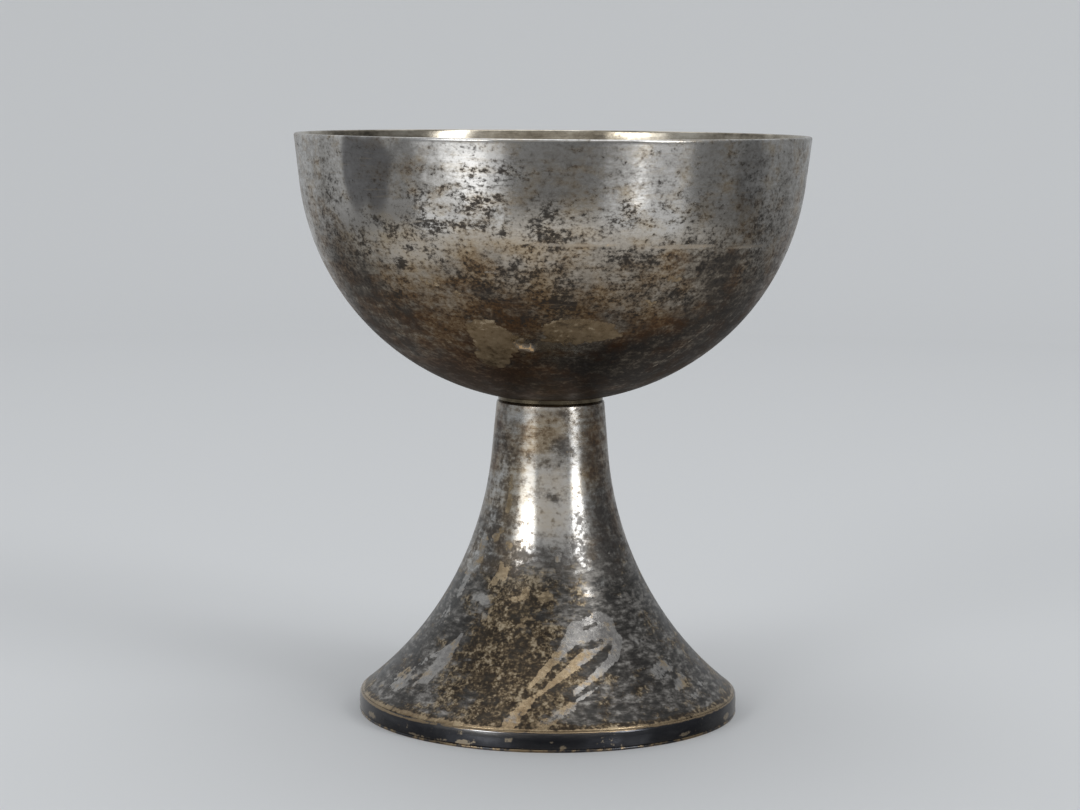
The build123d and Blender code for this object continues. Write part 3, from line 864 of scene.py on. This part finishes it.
def foot_silver():
    """As the bowl, but crusted towards the foot and never gilt."""
    g = Graph(bpy.data.materials.new("tarnished_silver_foot"))
    film, pits, warm, bare, grime, inside = g.layers(
        "film", "pits", "warm", "bare", "grime", "inside"
    )
    cloud = g.noise(8, 6, 0.62)
    drift = g.noise(6, 4, 0.6, g.stretch(1, 1, 1, 0.7))
    rows = g.noise(2.4, 6, 0.7, g.stretch(0.34, 0.34, 1.5))
    crumb = g.noise(2.2, 6, 0.66)
    flecks = g.noise(1.3, 5, 0.66, g.stretch(0.5, 0.5, 1.5, 0.9))
    speck = g.noise(1.0, 4, 0.64, g.stretch(0.95, 0.95, 1.1, 0.2))
    grain = g.noise(0.65, 3, 0.6, g.stretch(0.9, 0.9, 1.15, 0.4))
    curl = g.noise(2.0, 3, 0.6, distortion=0.6)
    fine_rows = g.noise(0.8, 3, 0.6, g.stretch(0.05, 0.05, 1))
    hairs = g.noise(0.45, 2, 0.5, g.stretch(0.06, 0.06, 1, 0.6))

    # Film and painted light on the stem, with brushed lines round it
    swing = g.swing(
        0, (cloud, 1.1), (rows, 1.1), (crumb, 1.1), (speck, 0.6), (grain, 0.3), (hairs, 0.4)
    )
    level = g.plus(film, g.times(swing, g.plus(g.times(film, 0.8), 0.3)))
    warmth = g.math("ADD", warm, g.swing(0, (drift, 2.4), (rows, 1.4), (speck, 0.8)), clamp=True)
    colour = g.mix(warmth, g.ramp(level, COOL_FILM), g.ramp(level, WARM_FILM))

    crust = g.swing(g.times(pits, 0.44), (speck, 0.8), (crumb, 1.1), (rows, 0.6), (grain, 0.25))
    stained = g.step(crust, 0.06, 0.36)
    pitted = g.step(crust, 0.22, 0.52)
    stain_tone = g.mix(warmth, (0.12, 0.112, 0.104), (0.14, 0.095, 0.058))
    colour = g.mix(g.times(stained, 0.55), colour, stain_tone)
    colour = g.mix(g.times(pitted, 0.72), colour, PIT_COLOUR)

    # The foot's crust, from dark hollows to pale crumbs and curls: golden brown where it is
    # warm, and grey and a little smoother where it is cool
    ridge = g.math("ABSOLUTE", g.math("SUBTRACT", curl, 0.5), 0)
    lines = g.math("SUBTRACT", 1.0, g.step(ridge, 0.004, 0.04))
    where = g.step(g.swing(cloud, (drift, 0.6)), 0.42, 0.62)
    crumbs = g.swing(
        g.plus(0.42, g.times(g.times(lines, where), 0.3)),
        (speck, 1.6), (crumb, 1.6), (grain, 1.0), (cloud, 0.5),
    )
    gold = g.ramp(crumbs, [
        (0.16, (0.022, 0.019, 0.016)), (0.36, (0.052, 0.042, 0.031)), (0.5, (0.115, 0.086, 0.054)),
        (0.64, (0.25, 0.195, 0.12)), (0.84, (0.46, 0.39, 0.28)),
    ])
    mottle = g.swing(0.51, (cloud, 1.3), (crumb, 1.2), (flecks, 2.0), (speck, 0.5))
    slate = g.ramp(mottle, [
        (0.16, (0.03, 0.029, 0.028)), (0.38, (0.06, 0.057, 0.053)), (0.54, (0.11, 0.104, 0.096)),
        (0.7, (0.21, 0.2, 0.186)), (0.9, (0.38, 0.365, 0.34)),
    ])
    crust_colour = g.mix(g.step(warmth, 0.1, 0.55), slate, gold)
    cover = g.step(g.swing(grime, (cloud, 1.4), (crumb, 0.9)), 0.3, 0.62)
    colour = g.mix(g.times(cover, 0.92), colour, crust_colour)
    deep = g.step(g.swing(pits, (crumb, 2.4), (flecks, 1.4)), 0.5, 0.86)
    colour = g.mix(g.times(g.times(deep, cover), 0.34), colour, (0.055, 0.048, 0.04))

    edge = g.swing(bare, (crumb, 1.7), (rows, 0.6), (speck, 1.2), (grain, 0.5))
    worn = g.step(edge, 0.36, 0.6)
    worn_level = g.swing(0.5, (speck, 1.0), (crumb, 1.0), (cloud, 0.8))
    silver_tone = g.ramp(worn_level, [(0.3, (0.28, 0.27, 0.26)), (0.7, (0.47, 0.457, 0.434))])
    tan_tone = g.ramp(worn_level, [(0.3, (0.27, 0.198, 0.118)), (0.7, (0.45, 0.355, 0.23))])
    worn_tone = g.mix(g.step(g.swing(warmth, (crumb, 1.0)), 0.1, 0.6), silver_tone, tan_tone)
    colour = g.mix(g.times(worn, 0.92), colour, worn_tone)

    colour = g.mix(g.times(inside, 0.85), colour, g.ramp(g.swing(cloud, (crumb, 0.8)), [
        (0.3, (0.05, 0.042, 0.034)), (0.5, (0.12, 0.1, 0.078)), (0.72, (0.24, 0.21, 0.17)),
    ]))

    rough = g.plus(
        g.times(level, 0.24), 0.19, g.times(pitted, 0.14), g.times(cover, 0.04), g.times(worn, -0.12)
    )
    metal = g.plus(1.0, g.times(pitted, -0.25), g.times(cover, -0.12))
    height = g.plus(
        g.times(pitted, -0.4), g.times(g.times(crumbs, cover), 0.5), g.times(fine_rows, 0.2),
        g.times(crumb, 0.5), g.times(rows, 0.4),
    )
    return g.finish(colour, rough, metal, g.bump(height, 0.022))


def band_silver():
    """Nearly black plate with chips, a worn corner and painted highlights along the corner."""
    g = Graph(bpy.data.materials.new("tarnished_silver_band"))
    chips, lip, clean = g.layers("chips", "lip", "clean")
    cloud = g.noise(8, 5, 0.62)
    rows = g.noise(2.4, 5, 0.66, g.stretch(0.35, 0.35, 1.8))
    crumb = g.noise(1.6, 6, 0.72)
    # Lighter where the corner is rubbed and where highlights are painted
    level = g.swing(g.plus(0.93, g.times(clean, -0.75)), (cloud, 0.5), (rows, 0.5), (crumb, 0.2))
    colour = g.ramp(level, [
        (0.1, (0.55, 0.56, 0.58)), (0.3, (0.36, 0.36, 0.36)), (0.55, (0.16, 0.155, 0.155)),
        (0.75, (0.075, 0.077, 0.084)), (1, (0.035, 0.037, 0.044)),
    ])
    worn = g.step(g.swing(chips, (crumb, 3.4), (rows, 1.4)), 0.46, 0.62)
    rim = g.step(g.swing(lip, (crumb, 1.8), (cloud, 1.4)), 0.42, 0.66)
    bare_tone = g.mix(cloud, (0.4, 0.33, 0.235), (0.34, 0.29, 0.22))
    colour = g.mix(g.times(worn, 0.85), colour, bare_tone)
    colour = g.mix(g.times(rim, 0.8), colour, (0.36, 0.27, 0.165))
    rough = g.swing(g.plus(0.13, g.times(crumb, 0.1)), (cloud, 0.2))
    height = g.plus(g.times(rows, 0.5), g.times(crumb, 0.4))
    return g.finish(colour, rough, g.plus(0.95, g.times(worn, -0.1)), g.bump(height, 0.03))


def hardware(name, light, dark, rust, rough):
    """Plain metal with handling wear, turning marks and a little corrosion."""
    g = Graph(bpy.data.materials.new(name))
    cloud = g.noise(3.5, 5, 0.65)
    crumb = g.noise(0.9, 5, 0.7)
    turned = g.noise(0.35, 2, 0.5, g.stretch(0.06, 0.06, 1))
    colour = g.mix(g.step(cloud, 0.35, 0.65), light, dark)
    stain = g.step(g.swing(crumb, (cloud, 0.6)), 0.58, 0.7)
    colour = g.mix(g.times(stain, 0.8), colour, rust)
    roughness = g.swing(g.plus(rough, g.times(stain, 0.25)), (cloud, 0.25))
    height = g.plus(g.times(turned, 0.6), g.times(crumb, 0.5))
    metal = g.plus(1.0, g.times(stain, -0.5))
    return g.finish(colour, roughness, metal, g.bump(height, 0.02))


# -------------------- the pieces

def revolved(name, material, node, profile, counts, outward, relief, layers=None):
    """Revolves a piece, paints its layers, and puts it on the body and in
    place of its CAD node. A profile that doesn't start on the axis is closed."""
    closed = profile[0, 0] > 0
    piece, theta, r, z = revolve(name, profile, counts, outward, relief, closed)
    if layers:
        paint(piece, layers(theta, r, z))
    piece.data.materials.append(material)
    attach(piece, "root")
    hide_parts(node)


band_material = band_silver()
revolved(
    "bowl_wall", bowl_silver(), "bowl",
    bowl_profile(outer_step=0.62, inner_step=1.3),
    halving(512, 30, 13, 5, 2), bowl_outward, bowl_relief, bowl_layers,
)
revolved(
    "stem_foot_wall", foot_silver(), "stem_foot",
    stem_profile(outer_step=0.55, inner_step=1.5),
    halving(480, 24), stem_outward, stem_relief, stem_layers,
)
revolved(
    "foot_band_wire", band_material, "foot_band",
    band_profile(step=0.09), halving(480), radial_outward, band_relief, band_layers,
)
revolved(
    "base_ring_flat", band_material, "base_ring",
    ring_profile(), halving(480), radial_outward, ring_relief, ring_layers,
)

dark_brass = hardware(
    "dark_brass_oxidised", (0.24, 0.2, 0.135), (0.1, 0.082, 0.056), (0.04, 0.034, 0.027), 0.2
)
steel = hardware(
    "fastener_steel_zinc", (0.44, 0.43, 0.41), (0.3, 0.29, 0.275), (0.16, 0.085, 0.045), 0.36
)

stud_low, stud_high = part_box("bowl_stud")
revolved(
    "bowl_stud_thread", steel, "bowl_stud",
    stud_profile(stud_low.z / MM, stud_high.z / MM, stud_high.x / MM),
    halving(64, 1.5), radial_outward, thread_relief,
)

for node, material in (
    ("seat_collar", dark_brass),
    ("stem_plate", dark_brass),
    ("flat_washer", steel),
    ("spring_washer", steel),
    ("hex_nut", steel),
):
    cad_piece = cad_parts[node]
    if not cad_piece.material_slots:
        cad_piece.data.materials.append(material)
    for material_slot in cad_piece.material_slots:
        material_slot.material = material


# -------------------- stage: floor, lights, world, camera

# Sizes in mm, as the profiles are
FLOOR_RADIUS = 900
COVE_RADIUS = 700
WALL_TOP = 2000
# The panels' distance, and the point on the cup that they face, in metres
PANEL_DISTANCE = 2.2
TARGET = np.array((0, 0, 0.08))
# The camera's place in metres, how far it looks down and leans in degrees, and its lens in mm
CAMERA_PLACE = (-0.0023, -0.5707, 0.1372)
CAMERA_DOWN = 6.95
CAMERA_ROLL = 0.5
CAMERA_LENS = 87.03


def no_relief(theta, r, z):
    return np.zeros_like(r)


def lay_floor():
    """A floor whose edge sweeps up into a wall. The wall only gives the camera a plain
    background: light and reflections pass it."""
    pale = bpy.data.materials.new("pale_floor")
    pale.use_nodes = True
    inputs = pale.node_tree.nodes["Principled BSDF"].inputs
    inputs["Base Color"].default_value = (0.685, 0.705, 0.72, 1)
    inputs["Roughness"].default_value = 0.7
    flat = line((0, 0), (FLOOR_RADIUS, 0), FLOOR_RADIUS / 3)
    cove = arc((FLOOR_RADIUS, COVE_RADIUS), COVE_RADIUS, -90, 90, 50)
    wall = line(cove[-1], (FLOOR_RADIUS + COVE_RADIUS, WALL_TOP), 300)
    for name, profile in (("floor", flat), ("backdrop", join(cove, wall))):
        piece = revolve(name, profile, halving(96), radial_outward, no_relief)[0]
        piece.data.materials.append(pale)
        piece.visible_glossy = False
        piece.visible_diffuse = piece.visible_shadow = name == "floor"


def glow_card(name, corners, radiance, tint):
    """A card that only reflections see."""
    mesh = bpy.data.meshes.new(name)
    mesh.from_pydata([corner.tolist() for corner in corners], [], [(0, 1, 2, 3)])
    material = bpy.data.materials.new(name)
    material.use_nodes = True
    tree = material.node_tree
    tree.nodes.clear()
    glow = tree.nodes.new("ShaderNodeEmission")
    glow.inputs["Color"].default_value = (*tint, 1)
    glow.inputs["Strength"].default_value = radiance
    out = tree.nodes.new("ShaderNodeOutputMaterial")
    tree.links.new(glow.outputs[0], out.inputs[0])
    material.cycles.emission_sampling = "NONE"
    mesh.materials.append(material)
    card = new_object(name, mesh)
    card.visible_camera = card.visible_diffuse = card.visible_shadow = False


def panel(name, azimuth, elevation, wide, tall, radiance, glow_only=False, tint=(1, 1, 1)):
    """A soft panel that faces the cup, with its place and size in degrees as the cup sees it.
    Azimuth 0 is towards the camera, positive to the right."""
    a, e = radians(azimuth), radians(elevation)
    toward = np.array((sin(a) * cos(e), -cos(a) * cos(e), sin(e)))
    right = np.cross(toward, (0, 0, 1))
    right = right / np.linalg.norm(right)
    up = np.cross(right, toward)
    half_w = PANEL_DISTANCE * tan(radians(wide / 2))
    half_h = PANEL_DISTANCE * tan(radians(tall / 2))
    centre = TARGET + toward * PANEL_DISTANCE
    if glow_only:
        signs = ((-1, -1), (1, -1), (1, 1), (-1, 1))
        corners = [centre + right * x * half_w + up * y * half_h for x, y in signs]
        glow_card(name, corners, radiance, tint)
        return
    light = bpy.data.lights.new(name, "AREA")
    light.shape = "RECTANGLE"
    light.size, light.size_y = 2 * half_w, 2 * half_h
    light.energy = radiance * pi * light.size * light.size_y
    light.color = tint
    lamp = new_object(name, light)
    basis = np.column_stack((-right, up, toward, centre))
    lamp.matrix_world = Matrix((*basis.tolist(), (0, 0, 0, 1)))
    lamp.visible_camera = False


# The world's colour by the height of the direction looked in, from straight down to straight up
SKY = [
    (-1, (0.17, 0.155, 0.14)), (-0.95, (0.2, 0.18, 0.16)), (-0.84, (0.3, 0.27, 0.235)),
    (-0.57, (0.44, 0.41, 0.37)), (-0.46, (0.4, 0.38, 0.35)), (-0.36, (0.2, 0.195, 0.19)),
    (-0.2, (0.3, 0.3, 0.3)), (-0.03, (0.33, 0.34, 0.35)), (0.2, (0.35, 0.36, 0.37)),
    (1, (0.4, 0.4, 0.41)),
]


def light_world():
    """A graded room, brighter to the left and behind, and a table-like lower half that is
    brighter in front."""
    world = bpy.data.worlds.new("studio")
    bpy.context.scene.world = world
    world.cycles.sampling_method = "NONE"
    g = Graph(world, "Generated")
    sideways, back, height = g.add("ShaderNodeSeparateXYZ", {0: g.place})
    sky = g.ramp(g.spread(height, 0, 1), [((at + 1) / 2, colour) for at, colour in SKY])
    room = g.times(g.spread(back, 0.6, 1.42), g.spread(sideways, 1.2, 0.7))
    table = g.spread(back, 1.4, 0.45)
    strength = g.blend(g.step(height, -0.15, -0.5), room, table)
    g.feed(g.tree.nodes["Background"], {"Color": sky, "Strength": strength})


def place_camera():
    camera = new_object("camera", bpy.data.cameras.new("camera"))
    pitch = Matrix.Rotation(radians(90 - CAMERA_DOWN), 4, "X")
    roll = Matrix.Rotation(radians(CAMERA_ROLL), 4, "Z")
    camera.matrix_world = Matrix.Translation(CAMERA_PLACE) @ pitch @ roll
    camera.data.sensor_width = 36
    camera.data.lens = CAMERA_LENS
    bpy.context.scene.camera = camera


lay_floor()
panel("window_left", -42, 16, 28, 34, 1.15)
panel("window_left_bright", -39, 21, 17, 11, 6.5)
panel("window_right", 50, 18, 18, 40, 1.2)
panel("window_right_bright", 51, 12, 10, 12, 7.0)
panel("window_right_high", 50, 31, 10, 26, 4.6)
panel("ceiling_right", 50, 58, 26, 18, 0.7)
panel("front_glow", 6, 13, 56, 28, 0.46, glow_only=True, tint=(1, 0.97, 0.93))
panel("overhead", 0, 88, 50, 50, 1.0)
panel("overhead_back", 180, 55, 60, 40, 0.5)
panel("sill_left", -42, -20, 40, 20, 0.75, glow_only=True)
panel("sill_left_bright", -40, -16, 20, 9, 1.5, glow_only=True)
panel("sill_right", 43, -20, 38, 20, 0.6, glow_only=True)
panel("sill_right_bright", 39, -16, 5, 8, 2.2, glow_only=True)

light_world()
place_camera()
bpy.context.scene.view_settings.view_transform = "Standard"
